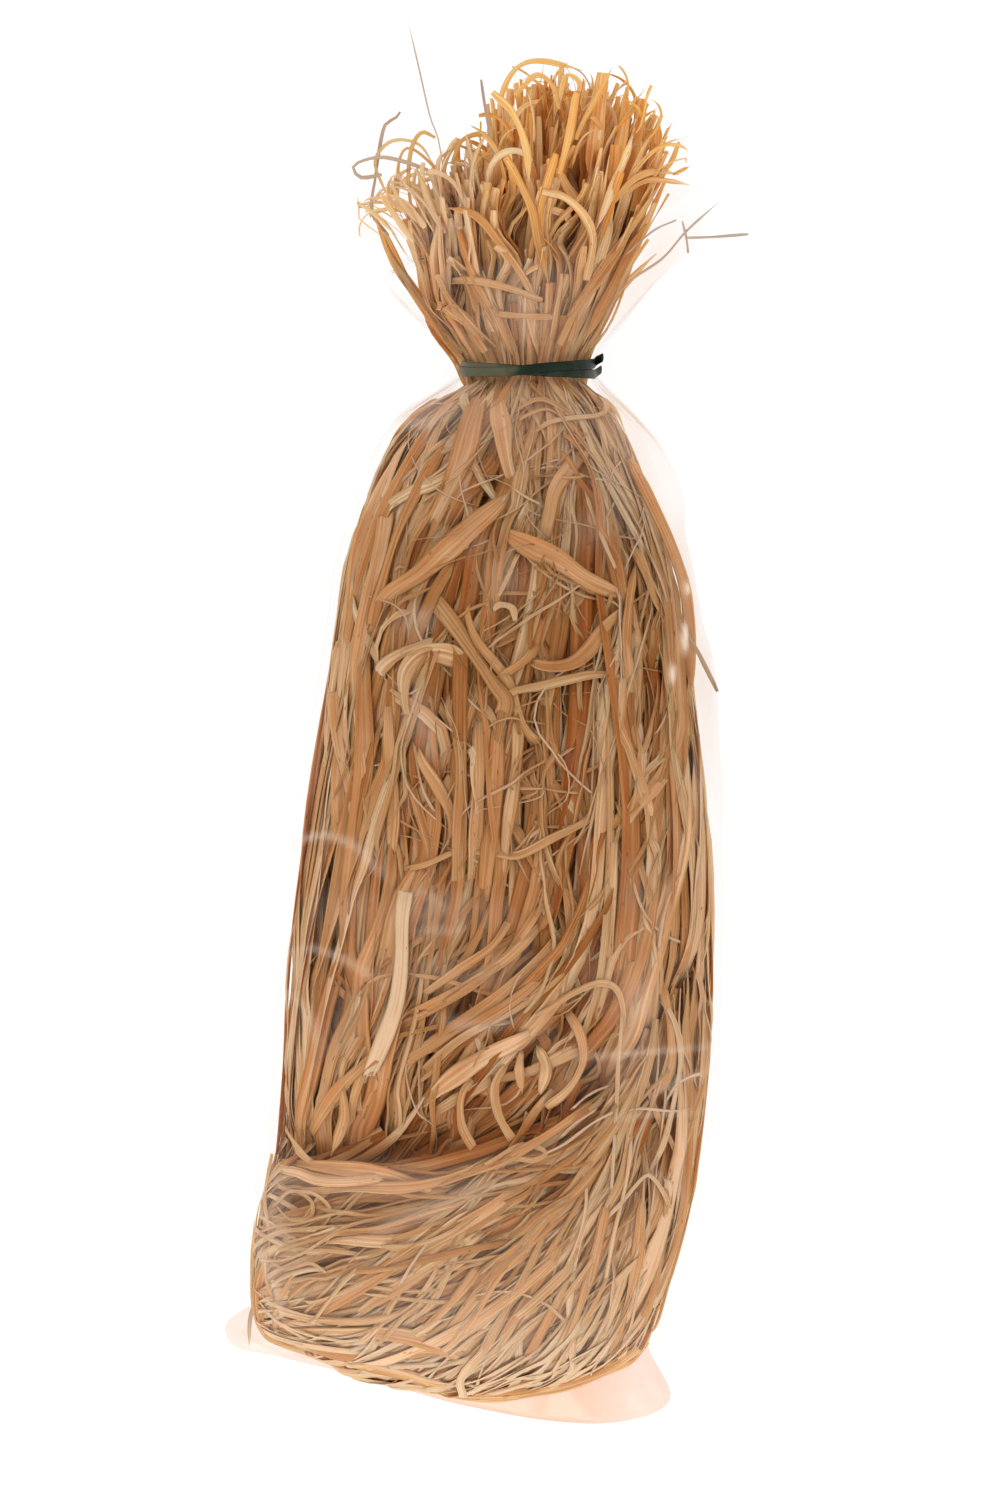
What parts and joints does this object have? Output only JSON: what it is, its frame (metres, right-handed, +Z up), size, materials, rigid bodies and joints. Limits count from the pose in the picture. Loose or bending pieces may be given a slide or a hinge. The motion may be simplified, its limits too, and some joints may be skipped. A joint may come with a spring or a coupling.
{
  "type": "bundle of raffia",
  "caption": "Bundle of natural raffia ribbons in a clear film bag, tied at the neck and lying on its back, its ends standing out as a brush.",
  "frame": {"origin": "middle of the footprint, on the surface that the bag lies on", "axes": "+Y runs from the sealed bottom of the bag to the brush above the tie, +Z is up, +X is to the right seen from above"},
  "size_m": [0.158, 0.42, 0.0836],
  "materials": {
    "raffia": "dry plant fibre with a faint sheen along the grain",
    "film": "thin clear film, creased",
    "tie": "plastic-covered wire, satin"
  },
  "bodies": {
    "root": {"raffia_hank": "raffia", "film_bag": "film", "twist_tie": "tie", "ribbon_crossing": "raffia", "ribbon_shoulder": "raffia", "ribbon_long_fold": "raffia", "ribbon_curl": "raffia", "ribbon_arch": "raffia", "ribbon_straight": "raffia", "ribbon_bent": "raffia", "ribbon_sloping": "raffia", "ribbon_band": "raffia", "ribbon_low_sweep": "raffia", "wisp_tall": "raffia", "wisp_dark": "raffia", "wisp_curled": "raffia", "wisp_side_low": "raffia", "wisp_side_long": "raffia", "wisp_arch": "raffia", "wisp_shoulder": "raffia"}
  },
  "joints": []
}
